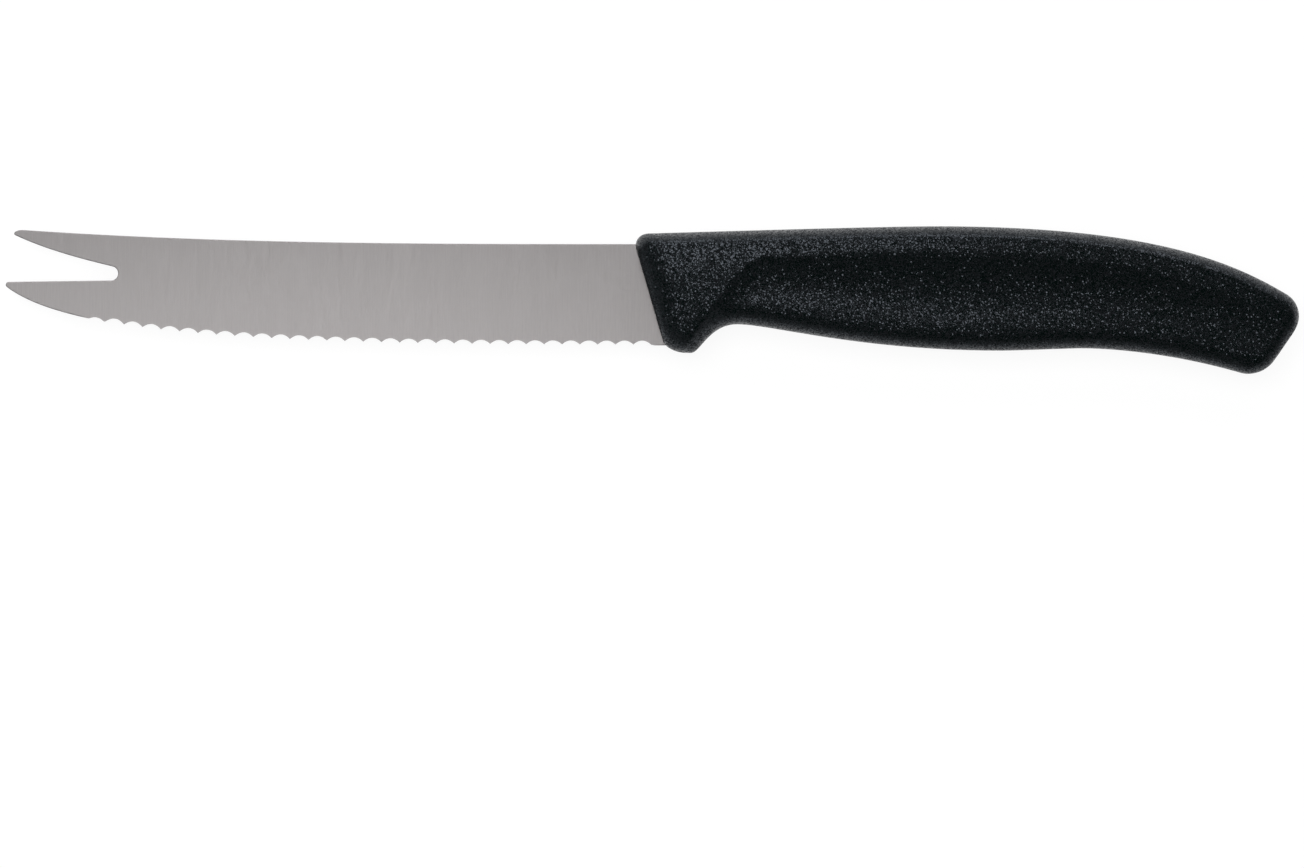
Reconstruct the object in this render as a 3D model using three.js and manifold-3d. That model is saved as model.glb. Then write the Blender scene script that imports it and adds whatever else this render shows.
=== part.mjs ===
// A cheese knife: a stamped, taper-ground blade with a forked tip and a scalloped edge, and a plastic
// handle moulded round its tang. Sizes are in millimetres and degrees.
//
// The outlines are drawn as the knife is seen from its side. x runs from the fork to the butt and starts
// at the handle's front face, at half the blade's height. y is 0 on the straight spine and points up, away
// from the edge. z goes through the thickness from the blade's middle plane, towards the plain face. At the
// end the knife is laid on its side, with the origin under the middle of its box, +Y towards the spine and
// +Z up.

import * as THREE from "three";
import { mergeVertices } from "three/addons/utils/BufferGeometryUtils.js";
import Module from "manifold-3d";

// Blade outline
const BLADE_LENGTH = 110; // lower tine's tip to the handle's front face
const BLADE_HEIGHT = 17.3; // spine to edge at the heel
const SPINE_RISE = 2.4; // how far the spine has swept up at the upper tine
const EDGE_RUN = 64; // pull of the heel on the edge curve: the longer, the later the edge turns up
const BELLY_RUN = 14.5; // pull of the lower tine's tip on the edge curve
const BELLY_ANGLE = 37; // slope of the belly at the lower tine's tip

// Fork
const FORK_DEPTH = 19.2; // lower tine's tip to the bottom of the slot
const FORK_ROOT_RADIUS = 1.22; // round bottom of the slot
const FORK_ROOT_DROP = 5; // middle of the slot's bottom below the spine
const FORK_UPPER_ROOT_ANGLE = 13.5; // slope of the slot's upper side at its bottom
const FORK_UPPER_TIP_ANGLE = 25; // and at the upper tine's tip
const FORK_LOWER_ANGLE = 0.75; // slope of the slot's straight lower side
const UPPER_TINE_SETBACK = 1.5; // upper tine's tip behind the lower one's
const UPPER_NOSE_LENGTH = 1.6; // where the spine turns down to that tip
const UPPER_NOSE_HEIGHT = 0.7;
const UPPER_TINE_RADIUS = 0.3;
const LOWER_TINE_RADIUS = 0.5;

// Blade thickness and scalloped edge
const STOCK_THICKNESS = 1.2; // sheet that the blade is stamped from
const EDGE_THICKNESS = 0.4; // left at the edge by the taper grind
const HEEL_FLAT = 2.24; // plain edge between the handle and the first scallop
const PLAIN_BELLY = 14.5; // least plain edge left at the lower tine
const SCALLOP_PITCH = 3.03; // at the handle
const SCALLOP_GROWTH = 0.0056; // each scallop is wider by this than its neighbour on the handle's side
const SCALLOP_DEPTH = 0.88; // into the edge, seen from the plain face
const LAST_SCALLOP_DEPTH = 0.5; // next to the fork, where the wheel leaves the edge
const SCALLOP_WHEEL_RADIUS = 7.1; // crown of the grinding wheel
const SCALLOP_GRIND_ANGLE = 13; // between the hollow and the blade's middle plane

// Seat and tang, inside the handle
const SEAT_DEPTH = 3; // how far the blade's full height goes in behind the handle's front face
const TANG_SHOULDER = 1.5; // the tang's full thickness starts this far behind the front face
const TANG_LENGTH = 68; // from the front face
const TANG_HEIGHT = 8;
const TANG_DROP = 2.5; // tang's upper side below the spine
const LOCK_HOLE_RADIUS = 2; // holes that the plastic flows through
const LOCK_HOLE_PITCH = 24;
const LOCK_HOLE_INSET = 16; // last hole from the tang's end
const LOCK_HOLE_COUNT = 2;
const MOULD_CLEARANCE = 0.3; // kept between steel and plastic

// Handle outline
const FRONT_LEAN = 16.2; // front face, top forward
const FRONT_RISE = 1.75; // top of the handle above the spine, at the front
const FRONT_SLOPE = 1.4; // of the top, at the front
const CREST_AT = 49; // highest place of the top, from the front face
const CREST_RISE = 3.05;
const HANDLE_LENGTH = 112.9; // front face to the butt's upper corner, before it is rounded
const BUTT_DROP = 10.85; // that corner below the spine
const BUTT_TOP_ANGLE = 28; // slope of the top at that corner
const BUTT_LEAN = 34.5; // butt face, top back
const GUARD_COVER = 1.3; // plastic under the blade's edge at the guard
const GUARD_AT = 7.1; // back end of the guard's flat underside, from the front face
const NOTCH_AT = 15; // finger notch behind the guard
const NOTCH_DROP = 13.7;
const BELLY_AT = 60; // low place of the grip
const BELLY_DROP = 18.2;
const HOLLOW_AT = 73.8; // slight hollow before the heel of the hand
const HOLLOW_DROP = 17.8;
const HEEL_DROP = 23.05; // butt's lower corner, before it is rounded
const HEEL_ANGLE = 18; // slope of the underside at that corner

// Handle section
const HANDLE_THICKNESS = 13;
const BUTT_THICKNESS = 8;
const BUTT_TAPER_LENGTH = 62; // over which the handle thins towards the butt, and its scoops die out
const TOP_ROUND = 2; // height of the rounded top edges
const TOP_SQUARENESS = 2.5; // 2 is an ellipse, and more is nearer to a square corner
const RAIL_HEIGHT = 4.7; // top of the handle to the crease over the side scoop
const UNDERSIDE_ROUND = 5; // height of the rounded underside
const UNDERSIDE_SQUARENESS = 3;
const GUARD_TAPER = 5.5; // slope of the guard's flanks below the rail
const GUARD_SOFTNESS = 3; // height over which that slope comes in
const SCOOP_STEEPNESS = 18.5; // slope of the side scoops under the rail's crease
const SCOOP_AT = 13.6; // front end of the scoop, from the front face
const SCOOP_LEAN = 34.8; // of the scoop's front end, top back
const SCOOP_RAMP = 4.2; // from the front end's crease to the scoop's full depth

// Rounded ends of the handle: how far from the end face each starts, and how much it takes off there
const FRONT_TOP_ROUND = { depth: 2.8, reach: 2.8 };
const FRONT_GUARD_ROUND = { depth: 3.4, reach: 2.2 };
const FRONT_FLANK_ROUND = { depth: 5.5, reach: 3.2 };
const BUTT_TOP_ROUND = { depth: 4.7, reach: 4.8 };
const BUTT_HEEL_ROUND = { depth: 3.4, reach: 3.6 };
const BUTT_FLANK_ROUND = { depth: 2.6, reach: 2.4 };

// Shape factors of the handle, with no size: the pulls are shares of a curve's span
const FRONT_PULL = 0.15;
const CREST_PULLS = [0.19, 0.71];
const BUTT_PULL = 0.15;
const GUARD_PULL = 0.2;
const NOTCH_PULLS = [0.6, 0.13];
const BELLY_PULLS = [0.54, 0.22];
const HOLLOW_PULLS = [0.14, 0.12];
const HEEL_PULL = 0.5;
const SCOOP_CORNER = 0.8; // roundness of the crease's turn from the rail down to the guard
const CREASE_SOFTNESS = 0.07; // roundness of the crease itself
const MOST_ROUNDED = 0.8; // share of a low section that rail and underside may take
const UPRIGHT_SHARE = 0.6; // of the handle behind the notch, before the sections lean with the butt

// Steps along and across the curves
const SPINE_STEPS = 24;
const TINE_STEPS = 8;
const SLOT_STEPS = 10;
const EDGE_STEPS = 40;
const SCALLOP_STEPS = 8;
const TANG_STEPS = 8;
const RAIL_STEPS = 60;
const FRONT_STEPS = 7;
const NOTCH_STEPS = 14;
const GRIP_STEPS = 26;
const BUTT_STEPS = 8;
const TOP_STEPS = 5;
const SCOOP_STEPS = 6;
const UNDERSIDE_STEPS = 7;

// Shared helpers
const wasm = await Module();
wasm.setup();

const rad = THREE.MathUtils.degToRad;
const { lerp, smoothstep } = THREE.MathUtils;
const point = (x, y) => new THREE.Vector2(x, y);
const heading = (degrees, length) => point(length, 0).rotateAround(point(0, 0), rad(degrees));

// A closed geometry as a solid that can be joined and cut.
function solidOf(geometry) {
  const bare = new THREE.BufferGeometry().setAttribute("position", geometry.getAttribute("position"));
  bare.setIndex(geometry.index);
  const merged = mergeVertices(bare);
  const vertProperties = merged.getAttribute("position").array;
  const triVerts = new Uint32Array(merged.index.array);
  return new wasm.Manifold(new wasm.Mesh({ numProp: 3, vertProperties, triVerts }));
}

// The geometry of a finished solid.
function geometryOf(solid) {
  const mesh = solid.getMesh();
  const geometry = new THREE.BufferGeometry();
  geometry.setAttribute("position", new THREE.BufferAttribute(mesh.vertProperties, mesh.numProp));
  geometry.setIndex(new THREE.BufferAttribute(mesh.triVerts, 1));
  const faceted = geometry.toNonIndexed();
  faceted.computeVertexNormals();
  return faceted;
}

// The points of several curves laid end to end, where each curve is given with its number of steps.
function chain(...stretches) {
  const points = [];
  for (const [curve, steps] of stretches) {
    points.push(...curve.getPoints(steps).slice(points.length ? 1 : 0));
  }
  return points;
}

// A flat outline given its thickness on both sides of the middle plane, which may change with height.
function plate(shape, halfThickness) {
  const settings = { depth: 1, bevelEnabled: false, curveSegments: TANG_STEPS };
  const geometry = new THREE.ExtrudeGeometry(shape, settings);
  const position = geometry.getAttribute("position");
  for (let i = 0; i < position.count; i++) {
    const side = Math.sign(position.getZ(i) - 0.5);
    position.setZ(i, side * halfThickness(position.getY(i)));
  }
  return solidOf(geometry);
}

// Blade
const middle = -BLADE_HEIGHT / 2;
const frontFace = (y) => Math.tan(rad(FRONT_LEAN)) * (middle - y);
const taper = (STOCK_THICKNESS - EDGE_THICKNESS) / 2 / (SPINE_RISE + BLADE_HEIGHT);
const flank = (y) => STOCK_THICKNESS / 2 - taper * (SPINE_RISE - y);

// The edge before the scallops are ground, from the lower tine's round tip to the handle.
function edgeCurve(tip) {
  const start = tip.clone().add(heading(270 - BELLY_ANGLE, LOWER_TINE_RADIUS));
  const heel = point(frontFace(-BLADE_HEIGHT), -BLADE_HEIGHT);
  const bellyPull = start.clone().add(heading(-BELLY_ANGLE, BELLY_RUN));
  const heelPull = point(heel.x - EDGE_RUN, heel.y);
  return new THREE.CubicBezierCurve(start, bellyPull, heelPull, heel);
}

// The middle of the lower tine's round tip, which touches the slot's lower side from below.
function lowerTip(root) {
  const x = LOWER_TINE_RADIUS - BLADE_LENGTH;
  const slope = rad(FORK_LOWER_ANGLE);
  const across = FORK_ROOT_RADIUS + LOWER_TINE_RADIUS - (x - root.x) * Math.sin(slope);
  return point(x, root.y - across / Math.cos(slope));
}

// The middle of the slot's round bottom.
const forkRoot = point(FORK_DEPTH - FORK_ROOT_RADIUS - BLADE_LENGTH, -FORK_ROOT_DROP);
const edge = edgeCurve(lowerTip(forkRoot));

// The blade as stamped: along the spine, round both tines and the slot, and back along the edge.
function bladeOutline() {
  const spineStart = point(frontFace(0), 0);
  const spineEnd = point(UPPER_TINE_SETBACK + UPPER_NOSE_LENGTH - BLADE_LENGTH, SPINE_RISE);
  const third = (spineEnd.x - spineStart.x) / 3;
  const spinePulls = [point(spineStart.x + third, 0), point(spineStart.x + 2 * third, 0)];
  const spine = new THREE.CubicBezierCurve(spineStart, ...spinePulls, spineEnd);
  const spineUp = THREE.MathUtils.radToDeg(Math.atan2(SPINE_RISE, third)) - 90;

  const arc = (centre, radius, from, to, clockwise) =>
    new THREE.EllipseCurve(centre.x, centre.y, radius, radius, rad(from), rad(to), clockwise);
  const noseMiddle = spineEnd.clone().sub(heading(spineUp, UPPER_NOSE_HEIGHT));
  const noseAxes = [UPPER_NOSE_LENGTH, UPPER_NOSE_HEIGHT];
  const noseTurn = [Math.PI / 2, Math.PI, false, rad(spineUp - 90)];
  const nose = new THREE.EllipseCurve(noseMiddle.x, noseMiddle.y, ...noseAxes, ...noseTurn);
  const upperTip = nose.getPoint(1).add(heading(spineUp - 90, UPPER_TINE_RADIUS));
  const upperArc = arc(upperTip, UPPER_TINE_RADIUS, spineUp + 90, 270 - FORK_UPPER_TIP_ANGLE, false);
  const rootTurn = [90 - FORK_UPPER_ROOT_ANGLE, FORK_LOWER_ANGLE - 90];
  const rootArc = arc(forkRoot, FORK_ROOT_RADIUS, ...rootTurn, true);
  const lowerTurn = [90 + FORK_LOWER_ANGLE, 270 - BELLY_ANGLE];
  const lowerArc = arc(lowerTip(forkRoot), LOWER_TINE_RADIUS, ...lowerTurn, false);

  const slotStart = upperArc.getPoint(1);
  const slotEnd = rootArc.getPoint(0);
  const slotThird = slotStart.distanceTo(slotEnd) / 3;
  const slotPulls = [
    slotStart.clone().add(heading(-FORK_UPPER_TIP_ANGLE, slotThird)),
    slotEnd.clone().sub(heading(-FORK_UPPER_ROOT_ANGLE, slotThird)),
  ];
  const slotTop = new THREE.CubicBezierCurve(slotStart, ...slotPulls, slotEnd);
  const slotBottom = new THREE.LineCurve(rootArc.getPoint(1), lowerArc.getPoint(0));
  const outline = chain(
    [spine, SPINE_STEPS],
    [nose, TINE_STEPS],
    [upperArc, TINE_STEPS],
    [slotTop, SLOT_STEPS],
    [rootArc, SLOT_STEPS],
    [slotBottom, 1],
    [lowerArc, TINE_STEPS],
    [edge, EDGE_STEPS],
  );
  outline.push(point(frontFace(-BLADE_HEIGHT) + SEAT_DEPTH, -BLADE_HEIGHT));
  outline.push(point(frontFace(0) + SEAT_DEPTH, 0));
  return new THREE.Shape(outline);
}

// The tang with its lock holes. The handle's pocket is the same outline, grown by a clearance.
function tangOutline(grow) {
  const top = grow - TANG_DROP;
  const bottom = -grow - TANG_DROP - TANG_HEIGHT;
  const centre = (top + bottom) / 2;
  const radius = (top - bottom) / 2;
  const shoulder = TANG_SHOULDER - grow;
  const shape = new THREE.Shape();
  shape.moveTo(frontFace(top) + shoulder, top);
  shape.lineTo(frontFace(bottom) + shoulder, bottom);
  shape.absarc(TANG_LENGTH - TANG_HEIGHT / 2, centre, radius, -Math.PI / 2, Math.PI / 2, false);
  for (let i = 0; i < LOCK_HOLE_COUNT; i++) {
    const x = TANG_LENGTH - LOCK_HOLE_INSET - i * LOCK_HOLE_PITCH;
    const hole = new THREE.Path();
    hole.absarc(x, centre, LOCK_HOLE_RADIUS - grow, 0, 2 * Math.PI, true);
    shape.holes.push(hole);
  }
  return shape;
}

// One stroke of the grinding wheel: a bar with a crowned top, long enough to leave the blade's back face.
function scallopCutter() {
  const lift = SCALLOP_DEPTH * Math.sin(rad(SCALLOP_GRIND_ANGLE));
  const halfWidth = Math.sqrt(2 * SCALLOP_WHEEL_RADIUS * (lift + EDGE_THICKNESS));
  const halfAngle = Math.asin(halfWidth / SCALLOP_WHEEL_RADIUS);
  const profile = new THREE.Shape();
  profile.moveTo(-halfWidth, -STOCK_THICKNESS);
  profile.lineTo(halfWidth, -STOCK_THICKNESS);
  const crown = [lift - SCALLOP_WHEEL_RADIUS, SCALLOP_WHEEL_RADIUS];
  profile.absarc(0, ...crown, Math.PI / 2 - halfAngle, Math.PI / 2 + halfAngle, false);
  const stroke = (2 * (lift + EDGE_THICKNESS)) / Math.sin(rad(SCALLOP_GRIND_ANGLE));
  const depth = stroke + STOCK_THICKNESS;
  const settings = { depth, bevelEnabled: false, curveSegments: SCALLOP_STEPS };
  return new THREE.ExtrudeGeometry(profile, settings).translate(0, 0, -STOCK_THICKNESS);
}

// Distance along the edge from the handle to the nth tooth. Tooth 0 is where the first scallop starts.
const toothPlace = (n) => HEEL_FLAT + n * (SCALLOP_PITCH + (n * SCALLOP_GROWTH) / 2);

// The scallops, ground side by side from the back face, so the plain face shows only their arcs.
function grindScallops(blank) {
  const cutter = scallopCutter();
  const length = edge.getLength();
  const end = length - PLAIN_BELLY;
  const tilt = rad(SCALLOP_GRIND_ANGLE);
  let blade = blank;
  for (let i = 0; toothPlace(i + 1) < end; i++) {
    const place = 1 - toothPlace(i + 0.5) / length;
    const spared = toothPlace(i + 2) < end ? 0 : SCALLOP_DEPTH - LAST_SCALLOP_DEPTH;
    const foot = edge.getPointAt(place);
    const along = edge.getTangentAt(place).negate();
    const tipward = new THREE.Vector3(along.x, along.y, 0);
    const inward = new THREE.Vector3(along.y, -along.x, 0);
    const start = new THREE.Vector3(foot.x, foot.y, flank(foot.y)).addScaledVector(inward, -spared);
    const intoSteel = inward.clone().multiplyScalar(Math.sin(tilt)).setZ(Math.cos(tilt));
    const upGrind = inward.clone().multiplyScalar(Math.cos(tilt)).setZ(-Math.sin(tilt));
    const stance = new THREE.Matrix4().makeBasis(tipward, intoSteel, upGrind);
    stance.setPosition(start);
    blade = blade.subtract(solidOf(cutter.clone().applyMatrix4(stance)));
  }
  return blade;
}

function makeBlade() {
  const blank = plate(bladeOutline(), flank).add(plate(tangOutline(0), () => STOCK_THICKNESS / 2));
  return grindScallops(blank);
}

// Handle
// Sections stand on lines across the handle. A section's station is where its line crosses half the
// blade's height. The lines lean with the front face, stand upright along the grip and lean with the butt.
const lastStation = HANDLE_LENGTH + Math.tan(rad(BUTT_LEAN)) * (middle + BUTT_DROP);
const buttFace = (y) => lastStation + Math.tan(rad(BUTT_LEAN)) * (y - middle);
const frontRounds = [FRONT_TOP_ROUND, FRONT_GUARD_ROUND, FRONT_FLANK_ROUND];
const buttRounds = [BUTT_TOP_ROUND, BUTT_HEEL_ROUND, BUTT_FLANK_ROUND];
const frontRounded = Math.max(...frontRounds.map((round) => round.depth)) / Math.cos(rad(FRONT_LEAN));
const buttRounded = Math.max(...buttRounds.map((round) => round.depth)) / Math.cos(rad(BUTT_LEAN));
const uprightFrom = frontRounded + NOTCH_AT;
const uprightTo = lerp(uprightFrom, lastStation, UPRIGHT_SHARE);

function lean(station) {
  const front = FRONT_LEAN * (1 - smoothstep(station, frontRounded, uprightFrom));
  const butt = BUTT_LEAN * smoothstep(station, uprightTo, lastStation - buttRounded);
  return rad(front - butt);
}

// A curve that leaves one point and reaches another at set slopes, each held for a share of the span.
function sweep(from, fromAngle, fromPull, to, toAngle, toPull) {
  const span = to.x - from.x;
  const leave = from.clone().add(heading(fromAngle, fromPull * span));
  const reach = to.clone().sub(heading(toAngle, toPull * span));
  return new THREE.CubicBezierCurve(from, leave, reach, to);
}

// The handle's top, from the front corner over the crest to the butt, with square corners.
function topLine() {
  const front = point(frontFace(FRONT_RISE), FRONT_RISE);
  const crest = point(CREST_AT, CREST_RISE);
  const butt = point(buttFace(-BUTT_DROP), -BUTT_DROP);
  return chain(
    [sweep(front, FRONT_SLOPE, FRONT_PULL, crest, 0, CREST_PULLS[0]), RAIL_STEPS],
    [sweep(crest, 0, CREST_PULLS[1], butt, -BUTT_TOP_ANGLE, BUTT_PULL), RAIL_STEPS],
  );
}

// The handle's underside: guard, finger notch, belly, hollow and heel, with square corners.
function bottomLine() {
  const guardDrop = BLADE_HEIGHT + GUARD_COVER;
  const front = point(frontFace(-guardDrop), -guardDrop);
  const guard = point(GUARD_AT, -guardDrop);
  const notch = point(NOTCH_AT, -NOTCH_DROP);
  const belly = point(BELLY_AT, -BELLY_DROP);
  const hollow = point(HOLLOW_AT, -HOLLOW_DROP);
  const heel = point(buttFace(-HEEL_DROP), -HEEL_DROP);
  return chain(
    [new THREE.LineCurve(front, guard), 1],
    [sweep(guard, 0, GUARD_PULL, notch, 0, NOTCH_PULLS[0]), RAIL_STEPS],
    [sweep(notch, 0, NOTCH_PULLS[1], belly, 0, BELLY_PULLS[0]), RAIL_STEPS],
    [sweep(belly, 0, BELLY_PULLS[1], hollow, 0, HOLLOW_PULLS[0]), RAIL_STEPS],
    [sweep(hollow, 0, HOLLOW_PULLS[1], heel, -HEEL_ANGLE, HEEL_PULL), RAIL_STEPS],
  );
}

// Where a section's line crosses an outline. Past its ends, the first or last stretch is carried on.
function crossing(outline, station) {
  const slant = Math.tan(lean(station));
  const past = (p) => p.x + slant * (p.y - middle) - station;
  let next = outline.findIndex((p) => past(p) > 0);
  if (next < 1) next = next < 0 ? outline.length - 1 : 1;
  const a = outline[next - 1];
  const b = outline[next];
  return a.clone().lerp(b, past(a) / (past(a) - past(b)));
}

// How much a rounded corner takes off at a distance from the end face: a quarter of an ellipse.
function taken(round, distance) {
  const left = Math.max(0, 1 - distance / round.depth);
  return round.reach * (1 - Math.sqrt(1 - left * left));
}

// Distance into the side scoop, from 0 at its crease to 1 at its full depth, with both turns softened.
function intoScoop(underRail, behindFront) {
  const near = Math.max(0, SCOOP_CORNER - Math.abs(underRail - behindFront));
  const inside = Math.min(underRail, behindFront) - (near * near) / SCOOP_CORNER / 4;
  if (inside < -CREASE_SOFTNESS) return 0;
  if (inside < CREASE_SOFTNESS) return (inside + CREASE_SOFTNESS) ** 2 / CREASE_SOFTNESS / 4;
  return Math.min(1, inside);
}

const topOutline = topLine();
const bottomOutline = bottomLine();

// One section of the handle as a ring of points: down the plain face's side and up the other.
function section(station) {
  const fromFront = station * Math.cos(rad(FRONT_LEAN));
  const fromButt = (lastStation - station) * Math.cos(rad(BUTT_LEAN));
  const roof = crossing(topOutline, station);
  const floor = crossing(bottomOutline, station);
  const down = floor.clone().sub(roof).normalize();
  roof.addScaledVector(down, taken(FRONT_TOP_ROUND, fromFront) + taken(BUTT_TOP_ROUND, fromButt));
  floor.addScaledVector(down, -taken(FRONT_GUARD_ROUND, fromFront) - taken(BUTT_HEEL_ROUND, fromButt));

  const thinning = Math.max(0, 1 - (lastStation - station) / BUTT_TAPER_LENGTH) ** 2;
  const fullHalf = lerp(HANDLE_THICKNESS, BUTT_THICKNESS, thinning) / 2;
  const half = fullHalf - taken(FRONT_FLANK_ROUND, fromFront) - taken(BUTT_FLANK_ROUND, fromButt);

  const height = floor.distanceTo(roof);
  const fit = Math.min(1, (MOST_ROUNDED * height) / (RAIL_HEIGHT + UNDERSIDE_ROUND));
  const rail = RAIL_HEIGHT * fit;
  const underside = height - UNDERSIDE_ROUND * fit;
  const scoopDepth = ((1 - thinning) * Math.tan(rad(SCOOP_STEEPNESS)) * (underside - rail)) / 2;
  const levels = [];
  for (let i = 0; i < TOP_STEPS; i++) {
    const below = TOP_ROUND * fit * (1 - Math.cos(((i / TOP_STEPS) * Math.PI) / 2));
    const left = (1 - below / (TOP_ROUND * fit)) ** TOP_SQUARENESS;
    levels.push({ below, share: (1 - left) ** (1 / TOP_SQUARENESS) });
  }
  levels.push({ below: TOP_ROUND * fit, share: 1 });
  for (let i = 0; i < SCOOP_STEPS; i++) {
    levels.push({ below: lerp(rail, underside, i / SCOOP_STEPS), share: 1 });
  }
  for (let i = 0; i < UNDERSIDE_STEPS; i++) {
    const sunk = Math.sin(((i / UNDERSIDE_STEPS) * Math.PI) / 2);
    const share = (1 - sunk ** UNDERSIDE_SQUARENESS) ** (1 / UNDERSIDE_SQUARENESS);
    levels.push({ below: lerp(underside, height, sunk), share });
  }
  levels.push({ below: height, share: 0 });

  const side = levels.map(({ below, share }) => {
    const at = roof.clone().addScaledVector(down, below);
    const underRail = (below - rail) / (underside - rail);
    const behind = at.clone().sub(point(SCOOP_AT, middle)).dot(heading(-SCOOP_LEAN, 1));
    const inside = intoScoop(underRail, behind / SCOOP_RAMP);
    const scoop = scoopDepth * (1 - (1 - inside) ** 2);
    const underGuard = Math.hypot(Math.max(0, below - rail), GUARD_SOFTNESS) - GUARD_SOFTNESS;
    const guardTaper = Math.tan(rad(GUARD_TAPER)) * underGuard * (1 - inside);
    return new THREE.Vector3(at.x, at.y, (half - scoop - guardTaper) * share);
  });
  const otherSide = side.slice(1, -1).reverse();
  return [...side, ...otherSide.map((p) => new THREE.Vector3(p.x, p.y, -p.z))];
}

// Stations closer together where the handle turns: at its rounded front, round the notch and at the butt.
function stations() {
  const quarter = (share) => 1 - Math.cos((share * Math.PI) / 2);
  const spread = (steps, at) => Array.from({ length: steps }, (_, i) => at(i / steps));
  const grippedTo = lastStation - buttRounded;
  return [
    ...spread(FRONT_STEPS, (share) => frontRounded * quarter(share)),
    ...spread(NOTCH_STEPS, (share) => lerp(frontRounded, uprightFrom, share)),
    ...spread(GRIP_STEPS, (share) => lerp(uprightFrom, grippedTo, share)),
    ...spread(BUTT_STEPS, (share) => lastStation - buttRounded * quarter(1 - share)),
    lastStation,
  ];
}

// The handle's outside: rings joined one to the next, and closed at both ends by strips across the ring.
function handleSkin() {
  const rings = stations().map(section);
  const around = rings[0].length;
  const index = [];
  for (let r = 0; r + 1 < rings.length; r++) {
    for (let i = 0; i < around; i++) {
      const a = r * around + i;
      const b = r * around + ((i + 1) % around);
      index.push(a, b, a + around, b, b + around, a + around);
    }
  }
  const lastRing = (rings.length - 1) * around;
  for (let i = 0; i + 1 < around / 2; i++) {
    const strip = [i, i + 1, around - i - 1, (around - i) % around];
    const [a, b, c, d] = strip;
    const front = i ? [a, d, b, d, c, b] : [a, c, b];
    const butt = (i ? [a, b, d, d, b, c] : [a, b, c]).map((n) => n + lastRing);
    index.push(...front, ...butt);
  }
  const tail = around / 2;
  index.push(tail - 1, tail + 1, tail);
  index.push(lastRing + tail - 1, lastRing + tail, lastRing + tail + 1);
  const geometry = new THREE.BufferGeometry().setFromPoints(rings.flat());
  geometry.setIndex(index);
  return geometry;
}

// The slot that the blade's full height sits in, open at the front face.
function seatOutline(grow) {
  const mouth = -FRONT_FLANK_ROUND.depth;
  const back = SEAT_DEPTH + grow;
  const top = grow;
  const bottom = -BLADE_HEIGHT - grow;
  return new THREE.Shape([
    point(frontFace(bottom) + mouth, bottom),
    point(frontFace(bottom) + back, bottom),
    point(frontFace(top) + back, top),
    point(frontFace(top) + mouth, top),
  ]);
}

function makeHandle() {
  const seat = plate(seatOutline(MOULD_CLEARANCE), (y) => flank(y) + MOULD_CLEARANCE);
  const tang = plate(tangOutline(MOULD_CLEARANCE), () => STOCK_THICKNESS / 2 + MOULD_CLEARANCE);
  return solidOf(handleSkin()).subtract(seat).subtract(tang);
}

// Knife
const steel = new THREE.MeshStandardMaterial({ color: 0xa9a6a3, roughness: 0.34, metalness: 1 });
const plastic = new THREE.MeshStandardMaterial({ color: 0x1c1d20, roughness: 0.55, metalness: 0 });

const blade = new THREE.Mesh(geometryOf(makeBlade()), steel);
blade.name = "blade";
const handle = new THREE.Mesh(geometryOf(makeHandle()), plastic);
handle.name = "handle";

const knife = new THREE.Group();
knife.add(blade, handle);
const box = new THREE.Box3().setFromObject(knife);
const centre = box.getCenter(new THREE.Vector3());
knife.position.set(-centre.x, -centre.y, -box.min.z);

const part = new THREE.Group();
part.add(knife);

export default part;
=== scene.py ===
# %% [markdown]
# # A cheese knife with a forked tip
#
# The knife is two pieces: a thin steel blade, stamped and ground, and a black plastic handle that was moulded
# round the blade's tang. The imported model holds both at their real size. This lesson loads that model, works
# out finer surfaces for both pieces with numpy, gives them their finishes and looks at them as the photograph
# The imported pieces stay in the scene, hidden.

import bpy
import numpy as np
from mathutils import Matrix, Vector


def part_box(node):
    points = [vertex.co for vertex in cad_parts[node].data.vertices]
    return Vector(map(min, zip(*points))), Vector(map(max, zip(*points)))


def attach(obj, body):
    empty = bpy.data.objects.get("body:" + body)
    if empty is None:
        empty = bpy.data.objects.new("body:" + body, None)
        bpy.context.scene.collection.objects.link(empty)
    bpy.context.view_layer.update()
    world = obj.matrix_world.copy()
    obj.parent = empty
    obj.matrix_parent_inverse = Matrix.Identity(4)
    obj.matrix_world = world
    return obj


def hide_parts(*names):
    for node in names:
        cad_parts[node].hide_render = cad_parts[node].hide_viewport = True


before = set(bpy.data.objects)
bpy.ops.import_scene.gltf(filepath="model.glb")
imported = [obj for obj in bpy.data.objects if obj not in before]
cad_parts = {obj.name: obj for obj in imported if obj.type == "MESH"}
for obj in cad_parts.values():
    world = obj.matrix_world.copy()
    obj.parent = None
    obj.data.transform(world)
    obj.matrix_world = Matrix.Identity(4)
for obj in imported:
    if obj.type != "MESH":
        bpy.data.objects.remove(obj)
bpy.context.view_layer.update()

MM = 0.001  # one millimetre, in the scene's metres

# %% [markdown]
# ## The camera
#
# The photograph looks straight down on the knife as it lies on its side, from so far away that both flanks of
# the handle stay hidden. An orthographic camera would show the same outline, but a long lens keeps the small
# parallax that reflections in real metal have. The pixel where the frame's origin lies, and the pixels for
# each millimetre, place the camera, so no shift is needed.

# %% Place the camera
PHOTO_SIZE = np.array([1304, 868])  # pixels
PHOTO_ORIGIN = np.array([652.35, 300.1])  # pixel of the frame's origin
PIXELS_PER_MM = 5.85
LENS = 200  # mm
SENSOR = 36  # mm, along the photograph's width

blade_low, blade_high = np.array(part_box("blade"))
half_height = (blade_low[2] + blade_high[2]) / 2

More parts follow.
